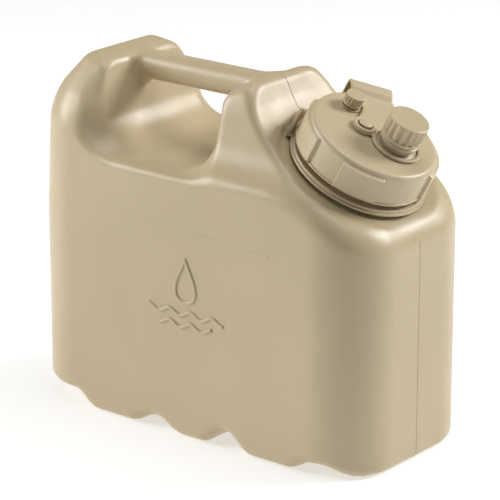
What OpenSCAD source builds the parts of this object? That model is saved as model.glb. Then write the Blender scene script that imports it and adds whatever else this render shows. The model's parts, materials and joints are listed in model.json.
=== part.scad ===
// Water can: a hollow blow-moulded body with a built-in handle, a wide screw lid held by a strap,
// a pouring spout with its own cap, and a vent with its own cap.
// X runs from the handle end to the lid end, Y across, Z up. The origin is on the middle foot.

/* [Can body] */
// Length of the body
can_l = 346; // [344:1:350]
// Width of the body
can_w = 165; // [163:1:170]
// Height of the rear post above the feet
can_h = 298; // [297:1:300]
// Wall thickness of the body
wall = 3; // [2.5:0.5:3.5]
// Radius of the four upright corners
corner_r = 50; // [46:1:54]
// Rounding of the lower edges
foot_round = 8; // [6:1:10]
// Height of the finger trough's floor
trough_z = 222; // [218:1:226]

/* [Handle] */
// Radius of the tube that is gripped
grip_r = 12.25; // [11:0.25:13]
// Height of the tube's axis
grip_z = 282; // [280:0.5:283]

/* [Neck] */
// Lean of the neck away from upright, towards the front
neck_tilt = 28.6; // [27:0.2:30]
// Distance of the lid's top from the rear end, along the can
neck_x = 301.4; // [300:0.2:302]
// Height of the centre of the lid's top
neck_z = 263; // [262:0.5:265]
// Radius of the mouth
mouth_r = 42.5; // [40:0.5:43]
// Rise of the lid for one turn
lid_lead = 8; // [6:1:10]

/* [Closures] */
// Radius of the lid's skirt
lid_r = 53.5; // [53:0.1:54]
// Depth of the lid from its top to the foot of its skirt
lid_h = 28; // [27:0.5:29]
// Radius of the spout cap
spout_cap_r = 16.4; // [16:0.1:17]
// Radius of the vent cap
vent_cap_r = 7.7; // [7.4:0.1:8]
// Thickness of the strap
strap_t = 2.2; // [1.8:0.2:2.6]
// Width of the strap where it folds over the lid's rim
strap_w = 36; // [30:1:38]

/* [Hidden] */
$fn = 64;
plastic = "tan";
rubber = "dimgray";

far = 400;                        // longer than anything that it cuts
half_l = can_l / 2;
half_w = can_w / 2;
shoulder_n = -37.5;               // the sloping shoulder, below the lid's top, along the neck's axis
grip_x0 = 58;                     // ends of the grip's tube, buried in the posts
grip_x1 = 202;
core_half = 60;                   // rear post's core, from its middle to the recess on each side
core_lean = 14;                   // how far the core's sides lean in as they rise
core_z = 250;                     // height at which the core is that wide
recess = 60;                      // reach of the recesses beside the core
shoulder_cut = 14;                // slanting cuts along the shoulder's edges
thread_turns = 3;
spout_lead = 4.5;
pocket_r = 66;                    // round recess that clears the strap and the ring
seat_n = shoulder_n - 1;          // floor of that recess
neck_r = mouth_r + 3.5;           // root of the neck's thread
crest_r = neck_r + 2.2;           // crest of the neck's thread
rim_n = -4.5;                     // rim of the mouth, below the lid's top
gasket_r = crest_r + 0.1;         // outside of the gasket, inside the lid's own thread
plate_t = 3;                      // lid's top plate
bore_r = crest_r + 1.2;           // inside of the lid's skirt
lug_r = lid_r + 2.7;              // outside of the grip blocks
lug_spans = [[-168, -107], [-77, -40], [12, 73], [103, 140]];
ring_top = -31.5;
ring_in = crest_r + 0.8;
ring_out = 58;
spout_at = [18.2, 4.6];
vent_at = [-33.4, 5.5];
stud_at = [-9, -6];
strap_dir = 137;                  // way that the strap leaves the lid, turned from the downhill side
strap_lift = 0.4;                 // gap between the strap and the lid
fold_s = 59;                      // where the strap turns down, from the lid's centre
tab_dir = 202;                    // upstanding tab of the neck ring
spout_base = 7;                   // underside of the spout cap above the lid's top
spout_top = 28;
spout_r = 12.5;
spout_bore = 10;
vent_base = 3;
vent_top = 12;
vent_r = 4.6;
vent_flange_r = vent_cap_r + 0.8;
vent_bore = 2.5;
liner_t = 1.1;                    // thickness of the liners in the caps

// Points of one hollow that rises from the feet: a raised cosine from x0 to x1, h high
function hollow(x0, x1, h, steps = 8) =
    [for (i = [0:steps]) let (f = i / steps) [x0 + (x1 - x0) * f, h * (1 - cos(360 * f)) / 2]];
// Points of a smooth step from height h0 at x0 to h1 at x1
function ease(x0, x1, h0, h1, steps = 6) =
    [for (i = [0:steps]) let (f = i / steps) [x0 + (x1 - x0) * f, h0 + (h1 - h0) * (1 - cos(180 * f)) / 2]];
// Height of the shoulder's slope at x, measured from the rear end
function slope_z(x) = neck_z + (shoulder_n - (x - neck_x) * sin(neck_tilt)) / cos(neck_tilt);

// Puts its children into the lid's frame: +Z out of the neck, +X downhill, origin at the lid's top
module at_neck() {
    translate([neck_x - half_l, 0, neck_z]) rotate([0, neck_tilt, 0]) children();
}

// Side view of the whole body, x from the rear end and z up, without the trough
module side_outline() {
    polygon(concat(
        [[foot_round * 3, 13.2]],
        ease(52, 75, 13.2, 0),
        hollow(112, 168, 10.2),
        hollow(188, 240, 14.8),
        ease(276, 300, 0, 9.5),
        ease(308, 335, 9.5, 0),
        [[can_l - foot_round, 0], [can_l - foot_round * 0.3, foot_round * 0.3], [can_l, foot_round]],
        [[can_l, slope_z(can_l) - 12], [can_l - 4, slope_z(can_l) - 2], [can_l - 16, slope_z(can_l - 16)]],
        [[233, slope_z(233)], [219, 278], [211, can_h - 4], [206, can_h - 1], [200, can_h - 2]],
        [[190, can_h - 8], [67, can_h - 6], [56, can_h], [42, can_h], [30, can_h - 7]],
        [[15, can_h - 23], [4, can_h - 45], [0, can_h - 62]],
        [[0, 13.2 + foot_round], [foot_round * 0.3, 13.2 + foot_round * 0.3], [foot_round, 13.2]]
    ));
}

// Front view: upright walls, rounded at the feet, leaning in towards the top of the posts
module front_outline() {
    side = [[half_w - foot_round, 0], [half_w - foot_round * 0.3, foot_round * 0.3], [half_w, foot_round],
            [half_w, 234], [80, 245], [74, 258], [58, 277], [47, 290], [42, can_h - 1], [38, can_h]];
    polygon(concat(side, [for (i = [len(side) - 1:-1:0]) [-side[i].x, side[i].y]]));
}

// Side view of the finger trough: the rear post's wall leans back, and deep fillets meet the floor
module trough_side() {
    polygon([[60, can_h + 5], [62, 290], [71, 248], [80, 235], [92, 226], [106, trough_z],
             [158, trough_z], [172, 226], [182, 234], [188, 246], [190, can_h + 5]]);
}

// Plan of the finger trough, flaring at the front post
module trough_plan() {
    flare = [[40, 0], [40, 90], [206, 90], [199, 80], [188, 64], [187, 0]];
    polygon(concat(flare, [for (i = [len(flare) - 2:-1:1]) [flare[i].x, -flare[i].y]]));
}

// Finger trough between the posts, grown by d
module trough(d) {
    intersection() {
        translate([-half_l, 0, trough_z - d]) linear_extrude(can_h) offset(delta = d) trough_plan();
        translate([-half_l, half_w + 10, 0]) rotate([90, 0, 0])
            linear_extrude(can_w + 20) offset(delta = d) trough_side();
    }
}

// Recess in one side of the rear post, beside its core, grown by d: its back leans away as it rises
module post_recess(side, d) {
    back = [[130, -24], [74, -24], [65, -14], [60, 0], [60, 9], [45, 39], [38, recess], [130, recess]];
    translate([-half_l, side * core_half, core_z]) rotate([side * core_lean, 0, 0])
        translate([0, side > 0 ? recess : d, 0]) rotate([90, 0, 0])
            linear_extrude(recess + d) offset(delta = d) polygon(back);
}

// The body's shape without handle or neck, drawn in by d all over
module body_shape(d) {
    difference() {
        intersection() {
            translate([-half_l, half_w + 1, 0]) rotate([90, 0, 0])
                linear_extrude(can_w + 2) offset(delta = -d) side_outline();
            translate([-half_l - 1, 0, 0]) rotate([90, 0, 90])
                linear_extrude(can_l + 2) offset(delta = -d) front_outline();
            translate([0, 0, -1]) linear_extrude(far) offset(delta = -d)
                plan_outline();
        }
        trough(d);
        at_neck() translate([0, 0, seat_n - d]) cylinder(r = pocket_r + d, h = far / 2);
        for (side = [-1, 1]) {
            at_neck() shoulder_edge(side, d);
            post_recess(side, d);
        }
    }
}

// Plan of the body: a rectangle with round corners
module plan_outline() {
    square([can_l - 2 * corner_r, can_w], center = true);
    square([can_l, can_w - 2 * corner_r], center = true);
    for (x = [-1, 1], y = [-1, 1])
        translate([x * (half_l - corner_r), y * (half_w - corner_r)]) circle(corner_r);
}

// Slanting cut that breaks the edge between the shoulder and one side wall
module shoulder_edge(side, d) {
    translate([0, side * (half_w - shoulder_cut / 2), shoulder_n - shoulder_cut / 2])
        rotate([-side * 45, 0, 0]) translate([-far / 2, -far / 2, -d]) cube([far, far, 60]);
}

// Tube of the handle between the posts, grown or drawn in by d
module grip(d) {
    translate([grip_x0 - half_l, 0, grip_z]) rotate([0, 90, 0])
        cylinder(r = grip_r - d, h = grip_x1 - grip_x0);
}

// Hollow body with handle, neck and thread in one piece
module can_body() {
    color(plastic) difference() {
        union() {
            body_shape(0);
            grip(0);
            at_neck() {
                translate([0, 0, seat_n - wall / 2]) cylinder(r = neck_r, h = rim_n - seat_n + wall / 2);
                for (turn = [1:thread_turns])
                    translate([0, 0, -2 - turn * lid_lead]) thread_ring(neck_r - 0.5, crest_r);
            }
        }
        body_shape(wall);
        grip(wall);
        at_neck() translate([0, 0, seat_n - wall - 5]) cylinder(r = mouth_r, h = 100);
    }
}

// One ridge of a thread round the neck's axis, from radius r0 out to r1
module thread_ring(r0, r1) {
    rotate_extrude() polygon([[r0, -1.8], [r1, -0.6], [r1, 0.6], [r0, 1.8]]);
}

// Flat rubber ring between the mouth's rim and the lid
module lid_gasket() {
    color(rubber) at_neck() translate([0, 0, rim_n + 0.1]) difference() {
        cylinder(r = gasket_r, h = -plate_t - rim_n - 0.2);
        translate([0, 0, -1]) cylinder(r = mouth_r + 0.5, h = 4);
    }
}

// Loose ring round the foot of the neck that the strap hangs on, with its upstanding tab
module neck_ring() {
    color(plastic) at_neck() {
        difference() {
            union() {
                translate([0, 0, ring_top - 2.3]) cylinder(r = ring_out - 2, h = 2.3);
                translate([0, 0, ring_top - 4.5]) cylinder(r = ring_out, h = 2.2);
                rotate(strap_dir) translate([ring_out - 6, -strap_w / 2, ring_top - 4.5])
                    cube([9, strap_w, 4.3]);
                rotate(tab_dir) translate([ring_out - 6, -8, ring_top - 4.5]) cube([10, 16, 2.2]);
                rotate(tab_dir) translate([ring_out + 1, -8, ring_top - 4.5]) cube([3, 16, 22]);
            }
            translate([0, 0, ring_top - 10]) cylinder(r = ring_in, h = 20);
        }
    }
}

// Profile of the lid's plate and skirt: radius against height
module lid_profile() {
    round_r = 4.5;
    difference() {
        union() {
            translate([0, -lid_h]) square([lid_r, lid_h - round_r]);
            translate([0, -round_r - 0.01]) square([lid_r - round_r, round_r + 0.01]);
            intersection() {
                translate([lid_r - round_r, -round_r]) circle(round_r);
                square(lid_r * 2, center = true);
            }
            translate([0, -lid_h]) square([lid_r + 1.2, 1.8]);
        }
        translate([-1, -lid_h - 1]) square([bore_r + 1, lid_h + 1 - plate_t]);
        translate([-lid_r * 2, -lid_h * 2]) square([lid_r * 2, lid_h * 3]);
    }
}

// Wide screw lid with its grip blocks, the spout, the vent and the strap's stud
module lid() {
    color(plastic) at_neck() difference() {
        union() {
            rotate_extrude() lid_profile();
            for (span = lug_spans) rotate(span[0]) rotate_extrude(angle = span[1] - span[0])
                translate([lid_r - 1, -lid_h + 1]) square([lug_r - lid_r + 1, lid_h - 5]);
            for (turn = [0:1]) translate([0, 0, -14 - turn * lid_lead]) lid_thread_ring();
            translate([spout_at.x, spout_at.y, -1]) {
                cylinder(r = spout_r + 1.8, h = 1 + spout_base - 1);
                cylinder(r = spout_r, h = 1 + spout_top - 2.5 - liner_t - 0.2);
                for (turn = [1:thread_turns])
                    translate([0, 0, 7.5 + turn * spout_lead]) thread_band(spout_r - 0.4, spout_r + 0.8);
            }
            translate([vent_at.x, vent_at.y, -1]) {
                cylinder(r = vent_flange_r, h = 2.6);
                cylinder(r = vent_r, h = 1 + vent_top - 1.6 - liner_t - 0.2);
            }
            translate([stud_at.x, stud_at.y, -1]) {
                cylinder(r = 4.6, h = 6);
                translate([0, 0, 6]) cylinder(r = 5.8, h = 1.4);
            }
        }
        translate([spout_at.x, spout_at.y, -10]) cylinder(r = spout_bore, h = 60);
        translate([vent_at.x, vent_at.y, -10]) cylinder(r = vent_bore, h = 60);
    }
}

// One ridge of the thread inside the lid's skirt
module lid_thread_ring() {
    crest = bore_r - 0.8;
    rotate_extrude() polygon([[bore_r + 0.5, -1.8], [crest, -0.6], [crest, 0.6], [bore_r + 0.5, 1.8]]);
}

// One ridge of the thread on the spout
module thread_band(r0, r1) {
    rotate_extrude() polygon([[r0, -0.9], [r1, -0.3], [r1, 0.3], [r0, 0.9]]);
}

// Plan of the strap on the lid: a band that carries the stud's eye and the ring round the spout
module strap_plan() {
    soften = 2;
    $fn = 36;
    offset(r = -soften) offset(delta = soften) difference() {
        union() {
            polygon(strap_edge());
            translate(spout_at) circle(21);
            translate(stud_at) circle(9.5);
        }
        translate(spout_at) circle(17.2);
        translate(stud_at) circle(6.4);
        translate(vent_at) circle(vent_flange_r + 0.6);
    }
}

// Corners of the band: the fold's ends, the two sides of the spout's ring, the eye, the vent's side
function strap_edge() =
    let (along = [cos(strap_dir), sin(strap_dir)])
    let (side = [sin(strap_dir), -cos(strap_dir)] * strap_w / 2)
    [along * (fold_s + 4) + side, along * 48 + side, spout_at + [7.6, 17.6], spout_at, stud_at,
     stud_at + [-9, 2], vent_at + [9.3, 3], along * 48 - side, along * (fold_s + 4) - side];

// Side view of the strap along its length: flat on the lid, over the rim and down to the neck ring
module strap_side() {
    drop = -ring_top - 0.3;
    bend = 7;
    polygon([[-45, strap_lift], [44, strap_lift], [50, 3], [fold_s - bend, 3.8], [fold_s - 3, 2.6],
             [fold_s, -1], [fold_s, -drop], [fold_s + strap_t, -drop], [fold_s + strap_t, 0],
             [fold_s - 1, 4.4],
             [fold_s - bend + 1, 3.8 + strap_t], [49, 3 + strap_t], [43, strap_lift + strap_t],
             [-45, strap_lift + strap_t]]);
}

// Strap that keeps the lid on the can: eye on the stud, ring round the spout, fold over the rim
module lid_strap() {
    color(plastic) at_neck() intersection() {
        translate([0, 0, -40]) linear_extrude(60) strap_plan();
        rotate(strap_dir) translate([0, 60, 0]) rotate([90, 0, 0]) linear_extrude(120) strap_side();
    }
}

// Liner inside the spout cap
module spout_cap_seal() {
    color(rubber) at_neck() translate([spout_at.x, spout_at.y, spout_top - 2.5 - liner_t - 0.1])
        cylinder(r = spout_r + 0.9, h = liner_t);
}

// Screw cap of the spout: fluted knob above a plain collar
module spout_cap() {
    flutes = 18;
    color(plastic) at_neck() translate([spout_at.x, spout_at.y, 0]) difference() {
        union() {
            translate([0, 0, spout_base + 6]) cylinder(r = spout_cap_r, h = spout_top - spout_base - 6);
            translate([0, 0, spout_base]) cylinder(r = spout_cap_r - 0.9, h = 6.5);
            translate([0, 0, spout_base]) cylinder(r = spout_cap_r, h = 1.6);
        }
        translate([0, 0, spout_base - 1]) cylinder(r = spout_r + 1.2, h = spout_top - 2.5 - spout_base + 1);
        for (i = [0:flutes - 1]) rotate(i * 360 / flutes)
            translate([spout_cap_r + 0.9, 0, spout_base + 6])
                cylinder(r = 1.5, h = spout_top - spout_base - 7.5);
    }
}

// Liner inside the vent cap
module vent_cap_seal() {
    color(rubber) at_neck() translate([vent_at.x, vent_at.y, vent_top - 1.6 - liner_t - 0.1])
        cylinder(r = vent_r + 0.4, h = liner_t);
}

// Small ribbed screw cap of the vent
module vent_cap() {
    ribs = 16;
    color(plastic) at_neck() translate([vent_at.x, vent_at.y, 0]) difference() {
        translate([0, 0, vent_base]) cylinder(r = vent_cap_r, h = vent_top - vent_base);
        translate([0, 0, vent_base - 1]) cylinder(r = vent_r + 0.6, h = vent_top - 1.6 - vent_base + 1);
        for (i = [0:ribs - 1]) rotate(i * 360 / ribs)
            translate([vent_cap_r + 0.35, 0, vent_base - 1]) cylinder(r = 0.8, h = vent_top - vent_base);
    }
}

can_body();
lid_gasket();
neck_ring();
lid();
lid_strap();
spout_cap_seal();
spout_cap();
vent_cap_seal();
vent_cap();
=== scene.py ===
"""Looks of a ten-litre plastic water can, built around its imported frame."""
import json
import math

import bmesh
import bpy
import numpy as np
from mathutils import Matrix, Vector


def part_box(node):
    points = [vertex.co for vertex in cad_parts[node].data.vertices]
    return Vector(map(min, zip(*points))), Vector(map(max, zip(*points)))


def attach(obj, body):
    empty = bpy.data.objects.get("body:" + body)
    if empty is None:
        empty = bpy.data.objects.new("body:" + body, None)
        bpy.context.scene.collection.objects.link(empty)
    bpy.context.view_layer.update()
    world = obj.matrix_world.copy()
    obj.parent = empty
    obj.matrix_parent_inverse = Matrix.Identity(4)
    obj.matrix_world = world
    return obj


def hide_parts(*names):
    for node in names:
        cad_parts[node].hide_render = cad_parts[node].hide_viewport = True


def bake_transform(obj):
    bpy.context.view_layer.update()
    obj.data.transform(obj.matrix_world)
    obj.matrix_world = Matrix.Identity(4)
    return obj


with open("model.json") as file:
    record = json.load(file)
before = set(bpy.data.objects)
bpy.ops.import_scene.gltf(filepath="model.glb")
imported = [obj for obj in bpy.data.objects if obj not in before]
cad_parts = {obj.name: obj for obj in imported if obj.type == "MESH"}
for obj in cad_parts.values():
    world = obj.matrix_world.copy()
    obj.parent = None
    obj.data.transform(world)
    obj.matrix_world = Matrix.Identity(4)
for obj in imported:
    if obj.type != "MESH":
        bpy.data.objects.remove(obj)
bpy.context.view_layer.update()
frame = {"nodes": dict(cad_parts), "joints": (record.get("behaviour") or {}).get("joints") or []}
MM = 0.001                                   # every length below is in millimetres

# ---------------------------------------------------------------- sizes taken from the frame
joints = {j["name"]: j for j in frame["joints"]}
NECK_AXIS = np.array(joints["lid_turn"]["axis"])
NECK_AXIS /= np.linalg.norm(NECK_AXIS)
NECK_TOP = np.array(joints["lid_turn"]["pos_m"]) / MM      # centre of the lid's top
DOWNHILL = np.array([NECK_AXIS[2], 0.0, -NECK_AXIS[0]])
ACROSS = np.array([0.0, 1.0, 0.0])
can_low, can_high = (np.array(c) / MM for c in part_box("can_body"))
HALF_L = -can_low[0]
HALF_W = can_high[1]
TOP_Z = can_high[2]


def in_lid(point_m):
    """Place of a point of the row frame on the lid: downhill, across, out of the lid's top."""
    d = np.array(point_m) / MM - NECK_TOP
    return np.array([d @ DOWNHILL, d @ ACROSS, d @ NECK_AXIS])


SPOUT = in_lid(joints["spout_cap_turn"]["pos_m"])
VENT = in_lid(joints["vent_cap_turn"]["pos_m"])

# ---------------------------------------------------------------- the can's own sizes
CAN_CELL = 3.0                               # size of the quads of the can's skin
WALL = 3.2
MOUTH_R = 43.0
CORNER_R = 50.0
REAR_DRAFT = 0.04                            # how much the rear end leans in near its top
TROUGH_Z = 222.0
SHOULDER_N = -37.5
POCKET_R = 66.0
GRIP_R = 12.25
GRIP_Z = 282.0
GRIP_MIDDLE, GRIP_HALF = 131, 67             # along x, measured from the rear end like all x below

# underside: where a hollow starts and ends, and its height
REAR_EDGE = (52, 75, 13.2)
REAR_GROOVE = (112, 168, 10.2)
MIDDLE_GROOVE = (188, 240, 14.8)
FRONT_GROOVE = (276, 300, 308, 336, 9.5)     # level between the middle two

# side view: lines as x0, z0, x1, z1
REAR_TOP = (55, TOP_Z, 68, 292)
FRONT_TOP = (190, 289, 203, 297.5)
FRONT_SLOPE = (210, TOP_Z, 220, 278)
REAR_WALL = (62, 290, 71, 248)               # the trough's wall on the rear post
FRONT_WALL_X = 187                           # and on the front post
POSTS_APART_X = 136
POST_LEAN = 0.9                              # how far the posts' walls lean in for each mm of height
POST_LEAN_Z = 256
RECESS = 60                                  # half width, and furthest x, of the recess beside the rear post
RECESS_TILT = 0.24


def round_max(a, b, r):
    """Intersection of two fields with its edge rounded to radius r."""
    return np.minimum(-r, np.maximum(a, b)) + np.hypot(np.maximum(a + r, 0), np.maximum(b + r, 0))


def round_min(a, b, r):
    """Union of two fields with its crease filled to radius r."""
    return np.maximum(r, np.minimum(a, b)) - np.hypot(np.maximum(r - a, 0), np.maximum(r - b, 0))


def step(x, x0, x1):
    """Rises smoothly from 0 at x0 to 1 at x1."""
    t = np.clip((x - x0) / (x1 - x0), 0, 1)
    return t * t * (3 - 2 * t)


def bump(x, x0, x1, h):
    """Raised cosine h high between x0 and x1."""
    t = np.clip((x - x0) / (x1 - x0), 0, 1)
    return h * (1 - np.cos(2 * np.pi * t)) / 2


def foot_height(x):
    """Height of the underside: feet at 0 with hollows between them, and a raised rear end."""
    start, level, level_end, end, height = FRONT_GROOVE
    return (REAR_EDGE[2] * (1 - step(x, *REAR_EDGE[:2])) + bump(x, *REAR_GROOVE) + bump(x, *MIDDLE_GROOVE)
            + height * step(x, start, level) * (1 - step(x, level_end, end)))


def slope(x, z, x0, z0, x1, z1):
    """Distance above the line from (x0, z0) to (x1, z1) in the side view."""
    run, rise = x1 - x0, z1 - z0
    return ((z - z0) * run - (x - x0) * rise) / math.hypot(run, rise)


def slab(x, y, grow):
    """Distance outside the plan: a rectangle with round corners, made longer by grow at each end."""
    qx = np.abs(x - HALF_L) - (HALF_L + grow - CORNER_R)
    qy = y - (HALF_W - CORNER_R)
    return np.minimum(np.maximum(qx, qy), 0) + np.hypot(np.maximum(qx, 0), np.maximum(qy, 0)) - CORNER_R


def post_tops(x, y, z):
    """Distance above the tops of the two posts: ridges across the can, inside walls that lean in."""
    grow = 6
    lean = (slab(x, y, grow) + grow + POST_LEAN * (z - POST_LEAN_Z)) / math.hypot(1, POST_LEAN)
    rear = round_max(slope(x, z, *REAR_TOP), z - TOP_Z, 14)
    front = round_max(slope(x, z, *FRONT_TOP), z - TOP_Z, 8)
    return round_max(lean, np.where(x < POSTS_APART_X, rear, front), 9)


def trough_field(x, y, z):
    """Distance outside the finger trough: a slot between the posts with a deep fillet along its floor.

    The rear post's wall leans back, a leaning recess on each side of it leaves the post's core standing,
    and the front post's wall flares towards the can's sides."""
    rear = -slope(x, z, *REAR_WALL)
    flare = np.clip((y - 58) / 24, 0, 2) ** 2
    wall = round_max(rear, x - FRONT_WALL_X - 14 * flare, 8)
    across = (RECESS - y) * math.cos(RECESS_TILT) - (z - 250) * math.sin(RECESS_TILT)
    behind = (np.minimum(RECESS - 0.5 * (z - 259), RECESS) - x) * 0.9
    wall = round_min(wall, round_max(across, behind, 20), 6)
    # the floor's fillet is a little tighter beside the rear post
    side = step(y, 56, 72) * step(-x, -112, -90)
    return round_max(wall, TROUGH_Z - z, 30 - 5 * side)


def can_field(p):
    """Distance to the can's outer surface, below zero inside.

    A slab with upright corners is cut by the underside, by slopes that lean in towards the posts,
    by the shoulder's slope and by the trough, each with rounded edges, and the grip is added.
    The rear end leans in a little near its top."""
    x, y, z = p[..., 0] + HALF_L, np.abs(p[..., 1]), p[..., 2]
    lean_in = REAR_DRAFT * np.maximum(z - 165, 0) * step(-x, -160, -60)
    d = round_max(slab(x, y, 0) + lean_in, foot_height(x) - z, 8)
    # the sloping shoulder meets the front of the front post
    out = (x - HALF_L - NECK_TOP[0]) * NECK_AXIS[0] + (z - NECK_TOP[2]) * NECK_AXIS[2]
    front = round_min(slope(x, z, *FRONT_SLOPE), out - SHOULDER_N, 14)
    edge = 12 + 10 * step(x, 40, 90) - 5 * step(x, 250, 300)
    d = round_max(d, round_max(front, post_tops(x, y, z), 7), edge)
    d = round_max(d, -trough_field(x, y, z), 6)
    grip = np.maximum(np.hypot(y, z - GRIP_Z) - GRIP_R, np.abs(x - GRIP_MIDDLE) - GRIP_HALF)
    d = round_min(d, grip, 8)
    # round pocket that clears the closure
    u = (x - HALF_L - NECK_TOP[0]) * DOWNHILL[0] + (z - NECK_TOP[2]) * DOWNHILL[2]
    pocket = np.maximum(np.hypot(u, y) - POCKET_R, SHOULDER_N - 1 - out)
    return round_max(d, -pocket, 3)


# ---------------------------------------------------------------- meshes
def new_mesh(name, verts, faces):
    """Smooth-shaded object from whole arrays: verts (n, 3) in millimetres and faces (m, 3 or 4)."""
    mesh = bpy.data.meshes.new(name)
    k = faces.shape[1]
    mesh.vertices.add(len(verts))
    mesh.vertices.foreach_set("co", (np.asarray(verts) * MM).astype(np.float32).ravel())
    mesh.loops.add(faces.size)
    mesh.loops.foreach_set("vertex_index", faces.astype(np.int32).ravel())
    mesh.polygons.add(len(faces))
    mesh.polygons.foreach_set("loop_start", np.arange(0, faces.size, k, dtype=np.int32))
    mesh.polygons.foreach_set("use_smooth", np.full(len(faces), True))
    mesh.update(calc_edges=True)
    mesh.validate()
    obj = bpy.data.objects.new(name, mesh)
    bpy.context.scene.collection.objects.link(obj)
    return obj


def field_surface(field, low, high, cell):
    """Quads where a field crosses zero: one point in each cell that it crosses, drawn onto the surface.

    Returns verts and faces that look outwards, towards the positive side."""
    counts = np.ceil((high - low) / cell).astype(int) + 1
    axes = [low[i] + cell * np.arange(counts[i]) for i in range(3)]
    f = np.empty(counts, np.float32)
    for k in range(counts[0]):
        layer = np.stack(np.meshgrid(axes[0][k:k + 1], axes[1], axes[2], indexing="ij"), -1)
        f[k] = field(layer)[0]
    inside = f < 0
    corners = np.stack([inside[i:counts[0] - 1 + i, j:counts[1] - 1 + j, k:counts[2] - 1 + k]
                        for i in (0, 1) for j in (0, 1) for k in (0, 1)])
    total = corners.sum(0)
    mixed = (total > 0) & (total < 8)
    index = np.full(mixed.shape, -1, np.int64)
    cells = np.argwhere(mixed)
    index[mixed] = np.arange(len(cells))
    # mean of the places where the cell's edges cross zero
    total_place = np.zeros((len(cells), 3))
    crossings = np.zeros(len(cells))
    for axis in range(3):
        others = [a for a in range(3) if a != axis]
        for a in (0, 1):
            for b in (0, 1):
                off = np.zeros(3, int)
                off[others[0]], off[others[1]] = a, b
                end = off.copy()
                end[axis] = 1
                c0 = cells + off
                f0 = f[tuple(c0.T)].astype(float)
                f1 = f[tuple((cells + end).T)].astype(float)
                cross = (f0 < 0) != (f1 < 0)
                t = np.where(cross, f0 / np.where(cross, f0 - f1, 1), 0)
                at = c0.astype(float)
                at[:, axis] += t
                total_place += np.where(cross[:, None], at, 0)
                crossings += cross
    verts = low + total_place / crossings[:, None] * cell
    verts = onto_surface(field, verts)
    # one quad round each edge of the grid that crosses, through the four cells that share the edge
    faces = []
    for axis in range(3):
        b, c = (axis + 1) % 3, (axis + 2) % 3
        lo = [slice(None)] * 3
        hi = [slice(None)] * 3
        lo[axis], hi[axis] = slice(0, -1), slice(1, None)
        change = inside[tuple(lo)] != inside[tuple(hi)]
        edges = np.argwhere(change)
        away = (edges[:, b] > 0) & (edges[:, c] > 0)
        edges = edges[away & (edges[:, b] < counts[b] - 1) & (edges[:, c] < counts[c] - 1)]
        quad = []
        for db, dc in ((1, 1), (0, 1), (0, 0), (1, 0)):
            cell_at = edges.copy()
            cell_at[:, b] -= db
            cell_at[:, c] -= dc
            quad.append(index[tuple(cell_at.T)])
        quad = np.stack(quad, 1)
        flip = ~inside[tuple(edges.T)]
        quad[flip] = quad[flip][:, ::-1]
        faces.append(quad)
    return verts, np.concatenate(faces)


def gradient(field, p, h=0.4):
    """Slope of a field by central differences."""
    g = np.empty_like(p)
    for axis in range(3):
        e = np.zeros(3)
        e[axis] = h
        g[:, axis] = (field(p + e) - field(p - e)) / (2 * h)
    return g


def onto_surface(field, p, rounds=4):
    """Moves points down a field's slope until the field is zero there, at most 1 mm a round."""
    for _ in range(rounds):
        g = gradient(field, p)
        f = field(p)
        move = -f[:, None] * g / np.maximum((g * g).sum(1), 0.2)[:, None]
        size = np.linalg.norm(move, axis=1, keepdims=True)
        p = p + move * np.minimum(1, 1.0 / np.maximum(size, 1e-9))
    return p


def make_can():
    """The can's wall: its outer surface with a round mouth in the pocket's floor, thickened inwards."""
    margin = 6.0
    verts, faces = field_surface(can_field, can_low - margin, can_high + margin, CAN_CELL)
    d = verts - NECK_TOP
    u, v, n = d @ DOWNHILL, d @ ACROSS, d @ NECK_AXIS
    radius = np.hypot(u, v)
    on_floor = np.abs(n - (SHOULDER_N - 1)) < 2
    in_mouth = on_floor & (radius < MOUTH_R)
    kept = faces[~in_mouth[faces].all(1)]
    # the ragged edge left by the removed quads is drawn onto the mouth's circle
    edge = in_mouth[kept].any(1)
    rim = np.zeros(len(verts), bool)
    rim[kept[edge].ravel()] = True
    rim &= in_mouth
    verts[rim] += ((MOUTH_R / radius - 1)[:, None] * (u[:, None] * DOWNHILL + v[:, None] * ACROSS))[rim]
    used = np.unique(kept)
    renumber = np.zeros(len(verts), np.int64)
    renumber[used] = np.arange(len(used))
    can = new_mesh("can_shell", verts[used], renumber[kept])
    wall = can.modifiers.new("wall", "SOLIDIFY")
    wall.thickness = WALL * MM
    wall.offset = -1
    wall.use_even_offset = False
    return can


# ---------------------------------------------------------------- round pieces of the closure
def outline(corners, radii, steps=5):
    """Points of a closed outline: each corner is an arc of its radius, tangent to both sides."""
    corners = np.array(corners, float)
    points = []
    for i, (corner, r) in enumerate(zip(corners, radii)):
        back, ahead = corners[i - 1] - corner, corners[(i + 1) % len(corners)] - corner
        back, ahead = back / np.linalg.norm(back), ahead / np.linalg.norm(ahead)
        half = math.acos(np.clip(back @ ahead, -1, 1)) / 2
        if r == 0 or abs(math.sin(2 * half)) < 1e-6:
            points.append(corner[None])
            continue
        reach = r / math.tan(half)
        start, end = corner + back * reach, corner + ahead * reach
        middle = corner + (back + ahead) / np.linalg.norm(back + ahead) * r / math.sin(half)
        a = np.arctan2(*(start - middle)[::-1])
        turn = (np.arctan2(*(end - middle)[::-1]) - a + np.pi) % (2 * np.pi) - np.pi
        t = a + turn * np.linspace(0, 1, steps + 1)
        points.append(middle + r * np.stack([np.cos(t), np.sin(t)], 1))
    return np.concatenate(points)


def refine(points, gap):
    """The same closed outline with no side longer than gap."""
    ends = np.roll(points, -1, axis=0)
    counts = np.maximum(1, np.ceil(np.linalg.norm(ends - points, axis=1) / gap)).astype(int)
    at = np.repeat(np.arange(len(points)), counts)
    share = (np.arange(len(at)) - np.repeat(np.cumsum(counts) - counts, counts)) / counts[at]
    return points[at] + (ends - points)[at] * share[:, None]


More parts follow.
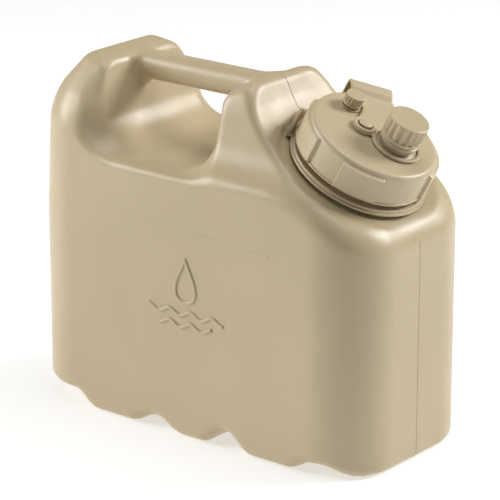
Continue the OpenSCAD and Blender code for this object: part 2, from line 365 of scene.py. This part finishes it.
def grid_faces(rows, cols, close_rows):
    """Quads of a grid that wraps along its columns, and along its rows too if asked."""
    bands = rows if close_rows else rows - 1
    i, j = np.meshgrid(np.arange(bands), np.arange(cols), indexing="ij")
    i2, j2 = (i + 1) % rows, (j + 1) % cols
    return np.stack([i * cols + j, i * cols + j2, i2 * cols + j2, i2 * cols + j], -1).reshape(-1, 4)


def turned(name, profile, centre=(0, 0), count=180, shape=None):
    """Surface of revolution about an axis square to the lid.

    Each point (r, n) of the profile is carried round the axis through centre, and shape(r, n, angle)
    may push it in or out and up or down on the way."""
    angle = np.arange(count) * 2 * np.pi / count
    r, n = np.repeat(profile[:, :1], count, 1), np.repeat(profile[:, 1:], count, 1)
    if shape is not None:
        r, n = shape(r, n, angle[None, :])
    u, v = centre[0] + r * np.cos(angle), centre[1] + r * np.sin(angle)
    verts = NECK_TOP + u[..., None] * DOWNHILL + v[..., None] * ACROSS + n[..., None] * NECK_AXIS
    return finished(new_mesh(name, verts.reshape(-1, 3), grid_faces(len(profile), count, True)))


def finished(obj):
    """Merges the points that fall together at poles and seams, and turns every face outwards."""
    work = bmesh.new()
    work.from_mesh(obj.data)
    bmesh.ops.remove_doubles(work, verts=work.verts, dist=1e-6)
    bmesh.ops.dissolve_degenerate(work, dist=1e-7, edges=work.edges)
    bmesh.ops.recalc_face_normals(work, faces=work.faces)
    work.to_mesh(obj.data)
    work.free()
    return obj


def keep_edges(obj, angle):
    """Shades smooth, with edges sharper than an angle kept crisp."""
    obj.data.set_sharp_from_angle(angle=math.radians(angle))
    return obj


def ridge(n, angle, start, lead, turns, half):
    """Height from 0 to 1 of a thread's ridge: a crest that climbs by lead each turn and fades at its ends."""
    around = np.mod(angle, 2 * np.pi) / (2 * np.pi)
    turn = np.round((n - start) / lead - around)
    away = np.abs(n - start - (turn + around) * lead)
    along = turn + around
    inside = np.clip(np.minimum(along + 0.001, turns - along) * 8, 0, 1)
    return inside * np.clip(1.6 * (1 - away / half), 0, 1)


NECK_LEAD = 8                                # climb of the neck's thread in one turn
SPOUT_LEAD = 4.5
VENT_LEAD = 2.5
LID_R = 53.5
THREAD_START = -27


def make_neck():
    """The can's threaded neck: a short pipe with a fillet at its foot and its thread."""
    foot, rim = SHOULDER_N - WALL - 1.2, -4.5
    pipe = outline([(42.5, foot), (48.5, foot), (48.5, SHOULDER_N - 0.4), (46, SHOULDER_N + 2),
                    (46, rim), (42.5, rim)], [0, 0, 0.5, 1.5, 1.0, 1.0])
    pipe = refine(pipe, 0.7)

    def thread(r, n, angle):
        out = (r > 45.8) & (n > SHOULDER_N + 8)
        return r + out * 2.1 * ridge(n, angle, THREAD_START, NECK_LEAD, 2.4, 2.2), n

    return turned("can_neck", pipe, count=240, shape=thread)


LUGS = [(-168, -107), (-77, -40), (12, 73), (103, 140)]      # grip blocks round the skirt, in degrees


def make_lid():
    """Lid: a plate with a rounded edge and a skirt that carries grip blocks outside and a thread inside."""
    shell = outline([(0, 0), (LID_R, 0), (LID_R, -4.9), (LID_R, -26.2), (54.5, -26.4), (54.5, -28),
                     (49.4, -28), (49.4, -3), (0, -3)], [0, 4.5, 0, 0.3, 0.4, 0.4, 0.6, 1.0, 0], steps=9)
    shell = refine(shell, 1.5)

    def blocks(r, n, angle):
        a = np.degrees(np.mod(angle + np.pi, 2 * np.pi) - np.pi)
        lift = np.zeros_like(r + a)
        for low, high in LUGS:
            along = np.minimum(a - low, high - a) * np.pi / 180 * LID_R
            lift = np.maximum(lift, step(along + 0 * r, -0.45, 0.45))
        up = step(-n, 4.0, 4.8) * step(n, -27.0, -26.4)
        outer = r > 53.3
        nub = np.exp(-(((a + 21) * LID_R * np.pi / 180) ** 2 + (n + 7.5) ** 2) / 1.2)
        inner = (r > 49.2) & (r < 49.6) & (n < -6)
        thread = ridge(n, angle, THREAD_START + 3, NECK_LEAD, 1.8, 1.9)
        r = r + outer * (2.7 * lift * up + 1.0 * nub) - inner * 0.8 * thread
        return r, n

    return turned("lid_shell", shell, count=560, shape=blocks)


def make_spout():
    """Spout on the lid: a bored neck with a wide fillet at its foot and a thread for its cap."""
    pipe = outline([(10, -4), (16.8, -4), (16.8, 1.3), (13.8, 2.4), (12.5, 4), (12.5, 24.2), (10, 24.2)],
                   [0, 0, 0.6, 1.5, 1, 0.6, 0.6])
    pipe = refine(pipe, 0.5)

    def thread(r, n, angle):
        return r + (r > 12.4) * (n > 9) * 0.85 * ridge(n, angle, 11.5, SPOUT_LEAD, 2.3, 1.1), n

    return turned("lid_spout", pipe, SPOUT, 160, thread)


def make_vent():
    """Vent on the lid: a thin bored neck on a low round flange."""
    pipe = outline([(2.5, -4), (8.4, -4), (8.4, 1.5), (4.6, 1.8), (4.6, 9.1), (2.5, 9.1)],
                   [0, 0, 0.6, 0.4, 0.4, 0.3])
    pipe = refine(pipe, 0.4)

    def thread(r, n, angle):
        return r + (r > 4.5) * (r < 5) * (n > 3) * 0.45 * ridge(n, angle, 4, VENT_LEAD, 1.8, 0.7), n

    return turned("lid_vent", pipe, VENT, 96, thread)


STUD = (-9.0, -6.0)                          # downhill and across from the lid's centre


def make_stud():
    """Stud that holds the strap's eye: a waisted pin with a low domed head."""
    pin = outline([(0, -2.5), (4.6, -2.5), (4.6, 4.6), (5.8, 4.9), (5.6, 5.7), (3.6, 6.4), (0, 6.7)],
                  [0, 0, 0.4, 0.4, 0.5, 3, 0])
    return turned("lid_stud", refine(pin, 0.5), STUD, 72)


def fluted_cap(name, corners, radii, centre, count, flutes, depth, low, high):
    """Screw cap whose side is carried round with even flutes: each flute is a scoop between two ribs,
    depth deep, and fades out below low and above high."""
    def scoops(r, n, angle):
        wave = ((1 - np.cos(flutes * angle)) / 2) ** 0.6
        side = r > corners[1][0] - 0.8
        return r - side * depth * wave * step(n, low, low + 0.8) * (1 - step(n, high - 0.8, high)), n

    return turned(name, refine(outline(corners, radii), 0.45), centre, count, scoops)


def make_spout_cap():
    """Spout cap: plain collar with a bead at its foot, fluted knob above, slightly dished top."""
    corners = [(0, 27.6), (16.4, 28), (16.4, 12.9), (15.4, 12.4), (15.4, 9.4), (16.3, 9.0), (16.3, 7.2),
               (13.7, 7.2), (13.7, 25.5), (0, 25.5)]
    return fluted_cap("spout_cap_knob", corners, [0, 1.1, 0.4, 0.3, 0.4, 0.4, 0.4, 0.3, 0.6, 0], SPOUT,
                      count=432, flutes=18, depth=1.55, low=12.8, high=27.0)


def make_vent_cap():
    """Vent cap: small ribbed knob with a plain foot and a slightly dished top."""
    corners = [(0, 11.8), (7.7, 12), (7.7, 4.4), (7.9, 4.2), (7.9, 3), (5.2, 3), (5.2, 10.4), (0, 10.4)]
    return fluted_cap("vent_cap_knob", corners, [0, 0.7, 0.2, 0.2, 0.3, 0.2, 0.3, 0], VENT,
                      count=320, flutes=16, depth=1.05, low=4.9, high=11.4)


# ---------------------------------------------------------------- strap, tab and raised lines
STRAP_WAY = math.radians(137)                # way that the strap leaves the lid, from the downhill side
STRAP_W = 36.0
STRAP_T = 2.2
TAB_WAY = math.radians(202)
TAB_R = 57.0                                 # middle of the tab's foot, from the lid's axis


def polygon_distance(x, y, corners):
    """Signed distance to a polygon in a plane, negative inside."""
    near = np.full(np.shape(x), np.inf)
    inside = np.zeros(np.shape(x), bool)
    for (x0, y0), (x1, y1) in zip(corners, corners[1:] + corners[:1]):
        ex, ey = x1 - x0, y1 - y0
        t = np.clip(((x - x0) * ex + (y - y0) * ey) / (ex * ex + ey * ey), 0, 1)
        near = np.minimum(near, np.hypot(x - x0 - t * ex, y - y0 - t * ey))
        crosses = (y0 > y) != (y1 > y)
        inside ^= crosses & (x < (y - y0) * ex / (ey if ey else 1e-9) + x0)
    return np.where(inside, -near, near)


def path_distance(x, y, points):
    """Distance to a line through points."""
    near = np.full(np.shape(x), np.inf)
    for (x0, y0), (x1, y1) in zip(points[:-1], points[1:]):
        ex, ey = x1 - x0, y1 - y0
        t = np.clip(((x - x0) * ex + (y - y0) * ey) / (ex * ex + ey * ey), 0, 1)
        near = np.minimum(near, np.hypot(x - x0 - t * ex, y - y0 - t * ey))
    return near


def along_across(u, v, way):
    """Distances on the lid along a way from its centre, and square to it."""
    return u * math.cos(way) + v * math.sin(way), -u * math.sin(way) + v * math.cos(way)


def strap_corners():
    """Plan of the strap's band on the lid: the fold's ends, the spout's ring, the eye and the vent's side."""
    along = np.array([math.cos(STRAP_WAY), math.sin(STRAP_WAY)])
    side = np.array([math.sin(STRAP_WAY), -math.cos(STRAP_WAY)]) * STRAP_W / 2
    spout, vent, stud = SPOUT[:2], VENT[:2], np.array(STUD)
    return [tuple(c) for c in (along * 63 + side, along * 48 + side, spout + (7.6, 17.6), spout, stud,
                               stud + (-9, 2), vent + (9.3, 3), along * 48 - side, along * 63 - side)]


def strap_field(p):
    """Distance to the strap: its plan from above met with its side view.

    The side view lies on the lid, lifts into a fold and turns down outside the rim to the neck ring."""
    u, v, h = p[..., 0], p[..., 1], p[..., 2]
    s, t = along_across(u, v, STRAP_WAY)
    from_spout = np.hypot(u - SPOUT[0], v - SPOUT[1])
    from_stud = np.hypot(u - STUD[0], v - STUD[1])
    plan = round_min(polygon_distance(u, v, strap_corners()), from_spout - 21, 3)
    plan = round_min(plan, from_stud - 9.5, 3)
    plan = round_max(plan, 17.3 - from_spout, 0.6)
    plan = round_max(plan, 9.4 - np.hypot(u - VENT[0], v - VENT[1]), 1)
    plan = np.where(s > 44, np.abs(t) - STRAP_W / 2, plan)
    middle = [(-45, 1.5), (41, 1.5), (44.5, 2.6), (48.5, 5.0), (52, 5.9), (55.5, 5.8), (58.4, 4.6),
              (60.0, 2.4), (60.1, -1), (60.1, -30.1)]
    body = path_distance(s, h, middle) - STRAP_T / 2
    d = round_max(plan, body, 0.7)
    eye = round_max(np.abs(from_stud - 7.9) - 1.6, h - 4.5, 1.0)
    eye = np.maximum(eye, 0.4 - h)
    return round_max(round_min(d, eye, 0.6), 6.0 - from_stud, 0.5)


def on_lid(points):
    """Points given downhill, across and out of the lid's top, in the row frame's millimetres."""
    return NECK_TOP + points[:, :1] * DOWNHILL + points[:, 1:2] * ACROSS + points[:, 2:] * NECK_AXIS


def make_strap():
    """The strap as one skin."""
    low, high = np.array([-61.0, -20.0, -33.0]), np.array([42.0, 58.0, 8.5])
    verts, faces = field_surface(strap_field, low, high, 0.75)
    return new_mesh("strap_band", on_lid(verts), faces)


def make_ring():
    """Neck ring: an L-shaped hoop whose upper step widens into a flat seat below the strap's leg."""
    hoop = outline([(49, -36), (58, -36), (58, -33.8), (56, -33.7), (56, -31.7), (49, -31.7)],
                   [0.3, 0.9, 0.7, 0.3, 0.7, 0.3])

    def seat(r, n, angle):
        off = np.mod(angle - STRAP_WAY + np.pi, 2 * np.pi) - np.pi
        wide = 61.3 / np.maximum(np.cos(off), 0.5)
        here = (r > 54.5) * step(-np.abs(off * 58) + 0 * r, -STRAP_W / 2 - 1.2, -STRAP_W / 2)
        return r + here * (wide - r), n

    return turned("ring_hoop", refine(hoop, 0.7), count=480, shape=seat)


def make_tab():
    """Tab on the neck ring: a foot that leaves the ring and an upright plate with a round head."""
    def field(p):
        s, t = along_across(p[..., 0], p[..., 1], TAB_WAY)
        h = p[..., 2]
        foot = round_max(np.maximum(np.abs(s - TAB_R) - 5, np.abs(t) - 8), np.abs(h + 34.9) - 1.1, 0.8)
        head = round_max(np.abs(t) - 8, h + 14, 7)
        plate = round_max(round_max(head, -36 - h, 0.8), np.abs(s - 60.6) - 1.5, 0.9)
        return round_min(foot, plate, 2)

    reach = 14
    centre = np.array([TAB_R * math.cos(TAB_WAY), TAB_R * math.sin(TAB_WAY), -25.0])
    verts, faces = field_surface(field, centre - reach, centre + reach, 0.6)
    return new_mesh("ring_tab", on_lid(verts), faces)


def raised_line(name, path, normal, half, height, closed=False):
    """Low round-topped ridge carried along a path; its foot is sunk a little into the skin.

    The section is (half * a, height * b) for a fixed list of (a, b), laid square to the path's tangent."""
    ahead, back = np.roll(path, -1, 0), np.roll(path, 1, 0)
    if not closed:
        ahead[-1], back[0] = path[-1], path[0]
    tangent = ahead - back
    tangent /= np.linalg.norm(tangent, axis=1, keepdims=True)
    normal = np.broadcast_to(normal, path.shape)
    side = np.cross(normal, tangent)
    section = np.array([(-1, -0.9), (-1, 0), (-0.82, 0.55), (-0.45, 0.92), (0, 1),
                        (0.45, 0.92), (0.82, 0.55), (1, 0), (1, -0.9)])
    a, b = section[:, 0] * half, section[:, 1] * height
    verts = path[:, None] + side[:, None] * a[None, :, None] + normal[:, None] * b[None, :, None]
    if closed:
        faces = grid_faces(len(path), len(section), True)
    else:
        sunk = path - normal * 0.5 * height
        verts = np.concatenate([np.repeat(sunk[:1, None], len(section), 1), verts,
                                np.repeat(sunk[-1:, None], len(section), 1)])
        faces = grid_faces(len(path) + 2, len(section), False)
    return finished(new_mesh(name, verts.reshape(-1, 3), faces))


MARK_X, MARK_Z = 2.0, 126.0                  # middle of the raised mark on the near side
MARK_HALF, MARK_HEIGHT = 1.6, 1.25           # half width and height of its lines
INSERT_Z, INSERT_FALL = 180, 0.06            # height of the insert's line, and how it falls along the can


def on_side(x, z):
    """Points on the near side's flat face, in the mark's own plan."""
    return np.stack([MARK_X + x, np.full(np.shape(x), -HALF_W), MARK_Z + z + 0 * x], -1)


def make_drop():
    """Outline of a water drop: a circle whose top is drawn up to a point."""
    t = np.linspace(0, 2 * np.pi, 97)[:-1] + np.pi / 96
    x = 15 * np.sin(t) * np.sin(t / 2) ** 1.6
    z = 10.0 + 18.5 * np.cos(t)
    return raised_line("mark_drop", on_side(x, z), (0, -1, 0), MARK_HALF, MARK_HEIGHT, closed=True)


def make_wave(name, z, half_length):
    """Wavy line: a sine along the side."""
    swing, length = 2.2, 22
    x = np.linspace(-half_length, half_length, 121)
    wave = z + swing * np.sin(x * 2 * np.pi / length)
    return raised_line(name, on_side(x, wave), (0, -1, 0), MARK_HALF, MARK_HEIGHT)


def skin_path(angles, centre=(20.0, 130.0)):
    """The can's outline at its middle plane: the outermost place on the skin along each ray from a centre."""
    reach = np.linspace(260, 20, 700)
    x = centre[0] + np.cos(angles)[:, None] * reach
    z = centre[1] + np.sin(angles)[:, None] * reach
    inside = can_field(np.stack([x, 0 * x, z], -1)) < 0
    at = np.arange(len(angles)), inside.argmax(1)
    path = onto_surface(can_field, np.stack([x[at], 0 * x[at], z[at]], -1))
    outwards = gradient(can_field, path)
    return path, outwards / np.linalg.norm(outwards, axis=1, keepdims=True)


def make_parting_line():
    """Thin flash left where the two halves of the mould meet."""
    path, normal = skin_path(np.radians(np.arange(19, -291, -0.5)))
    return raised_line("mould_parting_line", path, normal, 0.55, 0.3)


def make_insert_line(name, side):
    """Faint line across a side, left by the joint of a mould insert."""
    x = np.linspace(-120, 88, 80)
    z = INSERT_Z - INSERT_FALL * (x + 16)
    path = onto_surface(can_field, np.stack([x, 0 * x + side * HALF_W, z], -1))
    return raised_line(name, path if side < 0 else path[::-1], (0, side, 0), 0.45, 0.16)


# ---------------------------------------------------------------- materials
def noise(tree, where, scale, detail, seed):
    """Noise texture read at object coordinates moved by a seed."""
    move = tree.nodes.new("ShaderNodeMapping")
    move.inputs["Location"].default_value = (seed, 1.7 * seed, -0.6 * seed)
    tree.links.new(where, move.inputs["Vector"])
    texture = tree.nodes.new("ShaderNodeTexNoise")
    texture.inputs["Scale"].default_value = scale
    texture.inputs["Detail"].default_value = detail
    tree.links.new(move.outputs[0], texture.inputs["Vector"])
    return texture.outputs["Fac"]


def spread(tree, value, low, high, out_low, out_high):
    """Maps a range of a value to another range, held at its ends."""
    node = tree.nodes.new("ShaderNodeMapRange")
    for slot, number in zip(("From Min", "From Max", "To Min", "To Max"), (low, high, out_low, out_high)):
        node.inputs[slot].default_value = number
    tree.links.new(value, node.inputs["Value"])
    return node.outputs["Result"]


def material(name, colour, rough, tone, grain, wave=0.0, scatter=0.0, seed=0):
    """Moulded plastic or rubber: two close tones in cloudy patches, a fine grain, slow waves left by
    moulding, and a shine that varies a little over the surface."""
    m = bpy.data.materials.new(name)
    m.use_nodes = True
    tree = m.node_tree
    shader = tree.nodes["Principled BSDF"]
    where = tree.nodes.new("ShaderNodeTexCoord").outputs["Object"]
    cloud = spread(tree, noise(tree, where, 7, 4, seed), 0.3, 0.7, 0, 1)
    tones = tree.nodes.new("ShaderNodeMix")
    tones.data_type = "RGBA"
    for slot, k in ((6, 1 - tone), (7, 1 + tone)):
        tones.inputs[slot].default_value = (*(min(1, c * k) for c in colour), 1)
    tree.links.new(cloud, tones.inputs[0])
    tree.links.new(tones.outputs[2], shader.inputs["Base Color"])
    shine = noise(tree, where, 34, 5, seed + 3)
    tree.links.new(spread(tree, shine, 0.3, 0.7, rough - 0.05, rough + 0.07), shader.inputs["Roughness"])
    shader.inputs["Subsurface Weight"].default_value = scatter
    shader.inputs["Subsurface Radius"].default_value = (0.004, 0.003, 0.0015)
    last = None
    dents = ((noise(tree, where, 16, 2, seed + 5), wave), (noise(tree, where, 900, 3, seed + 8), grain))
    for height, depth in dents:
        if depth:
            dent = tree.nodes.new("ShaderNodeBump")
            dent.inputs["Distance"].default_value = depth
            tree.links.new(height, dent.inputs["Height"])
            if last:
                tree.links.new(last, dent.inputs["Normal"])
            last = dent.outputs[0]
    tree.links.new(last, shader.inputs["Normal"])
    return m


sand = (0.532, 0.435, 0.272)
can_plastic = material("can_blow_moulded", sand, 0.35, tone=0.045, grain=0.00005, wave=0.0014, scatter=0.05)
lid_plastic = material("lid_injection_moulded", (0.555, 0.457, 0.292), 0.34,
                       tone=0.03, grain=0.00004, wave=0.0002, scatter=0.05, seed=11)
cap_plastic = material("cap_injection_moulded", (0.550, 0.450, 0.285), 0.33,
                       tone=0.03, grain=0.00004, scatter=0.05, seed=23)
strap_plastic = material("strap_flexible", (0.545, 0.446, 0.284), 0.42,
                         tone=0.035, grain=0.00005, wave=0.0003, scatter=0.05, seed=31)
rubber = material("seal_rubber", (0.030, 0.029, 0.028), 0.62, tone=0.15, grain=0.00005, seed=47)


# ---------------------------------------------------------------- pieces on their bodies
def place(obj, body, slot_name, surface, *nodes):
    """Gives a finished piece its material and its body, and hides the CAD nodes that it stands for."""
    obj.data.materials.append(surface)
    if body:
        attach(obj, body)
    if nodes:
        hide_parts(*nodes)
    return obj


place(make_can(), "can", "can_plastic", can_plastic, "can_body")
place(keep_edges(make_neck(), 35), "can", "can_plastic", can_plastic)
place(make_parting_line(), "can", "can_plastic", can_plastic)
place(make_insert_line("mould_insert_line_near", -1), "can", "can_plastic", can_plastic)
place(make_insert_line("mould_insert_line_far", 1), "can", "can_plastic", can_plastic)
place(make_drop(), "can", "can_plastic", can_plastic)
place(make_wave("mark_wave_upper", -18, 39), "can", "can_plastic", can_plastic)
place(make_wave("mark_wave_lower", -28, 27), "can", "can_plastic", can_plastic)
place(keep_edges(make_lid(), 35), "lid", "lid_plastic", lid_plastic, "lid")
place(keep_edges(make_spout(), 35), "lid", "lid_plastic", lid_plastic)
place(keep_edges(make_vent(), 35), "lid", "lid_plastic", lid_plastic)
place(make_stud(), "lid", "lid_plastic", lid_plastic)
place(keep_edges(make_spout_cap(), 40), "spout_cap", "cap_plastic", cap_plastic, "spout_cap")
place(keep_edges(make_vent_cap(), 40), "vent_cap", "cap_plastic", cap_plastic, "vent_cap")
place(make_ring(), "neck_ring", "strap_plastic", strap_plastic, "neck_ring")
place(make_tab(), "neck_ring", "strap_plastic", strap_plastic)
strap = place(make_strap(), None, "strap_plastic", strap_plastic, "lid_strap")
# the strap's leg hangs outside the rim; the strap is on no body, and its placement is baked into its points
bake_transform(strap)
for name in ("lid_gasket", "spout_cap_seal", "vent_cap_seal"):
    frame["nodes"][name].data.materials.clear()
    frame["nodes"][name].data.materials.append(rubber)


# ---------------------------------------------------------------- stage
def look_at(obj, eye, target):
    """Stands an object at eye and turns it to look at a target."""
    obj.location = eye
    obj.rotation_mode = "QUATERNION"
    obj.rotation_quaternion = (Vector(target) - Vector(eye)).to_track_quat("-Z", "Y")


def make_camera():
    """Long lens, a little above the can, that looks at its marked side and its lid end."""
    az, el, dist = math.radians(38.69), math.radians(18.65), 2.260
    target = Vector((0.0, 0.0, 0.130))
    back = Vector((math.sin(az) * math.cos(el), -math.cos(az) * math.cos(el), math.sin(el)))
    data = bpy.data.cameras.new("camera")
    data.sensor_width = 36.0
    data.lens = 197.64
    data.shift_x, data.shift_y = 0.0048, 0.0244
    data.clip_start, data.clip_end = 0.1, 50
    cam = bpy.data.objects.new("camera", data)
    bpy.context.scene.collection.objects.link(cam)
    look_at(cam, target + back * dist, target)
    bpy.context.scene.camera = cam


def make_light(name, eye, target, size, power):
    """Rectangular lamp."""
    data = bpy.data.lights.new(name, "AREA")
    data.shape = "RECTANGLE"
    data.size, data.size_y = size
    data.energy = power
    obj = bpy.data.objects.new(name, data)
    bpy.context.scene.collection.objects.link(obj)
    look_at(obj, eye, target)


def make_floor():
    """White paper, half a millimetre below the feet; its glow keeps it as pale as the surround."""
    reach, height = 6, -0.0005
    mesh = bpy.data.meshes.new("floor")
    plan = ((-1, -1), (1, -1), (1, 1), (-1, 1))
    mesh.from_pydata([(i * reach, j * reach, height) for i, j in plan], [], [(0, 1, 2, 3)])
    floor = bpy.data.objects.new("floor", mesh)
    bpy.context.scene.collection.objects.link(floor)
    mesh.materials.append(material("floor_paper", (0.62, 0.62, 0.62), 0.8, tone=0.01, grain=0.00002, seed=60))
    shader = mesh.materials[0].node_tree.nodes["Principled BSDF"]
    shader.inputs["Emission Color"].default_value = (1, 1, 1, 1)
    shader.inputs["Emission Strength"].default_value = 0.52


def make_world():
    """Pale surround: soft even light on the object, plain white behind it."""
    world = bpy.data.worlds.new("surround")
    world.use_nodes = True
    tree = world.node_tree
    tree.nodes.clear()
    out = tree.nodes.new("ShaderNodeOutputWorld")
    mix = tree.nodes.new("ShaderNodeMixShader")
    seen = tree.nodes.new("ShaderNodeLightPath")
    for slot, strength in ((1, 0.05), (2, 1.0)):
        back = tree.nodes.new("ShaderNodeBackground")
        back.inputs["Color"].default_value = (1, 1, 1, 1)
        back.inputs["Strength"].default_value = strength
        tree.links.new(back.outputs[0], mix.inputs[slot])
    tree.links.new(seen.outputs["Is Camera Ray"], mix.inputs[0])
    tree.links.new(mix.outputs[0], out.inputs["Surface"])
    bpy.context.scene.world = world


make_camera()
make_floor()
centre = (0, 0, 0.15)
make_light("key_right", (1.5, 1.75, 1.5), centre, (0.9, 0.9), 52)
make_light("fill_left", (-1.95, -1.25, 1.1), centre, (1.2, 1.5), 50)
make_light("overhead", (0.35, 0.25, 2.4), (0.1, 0, 0), (1.8, 1.8), 27)
make_world()
bpy.context.scene.view_settings.view_transform = "Standard"
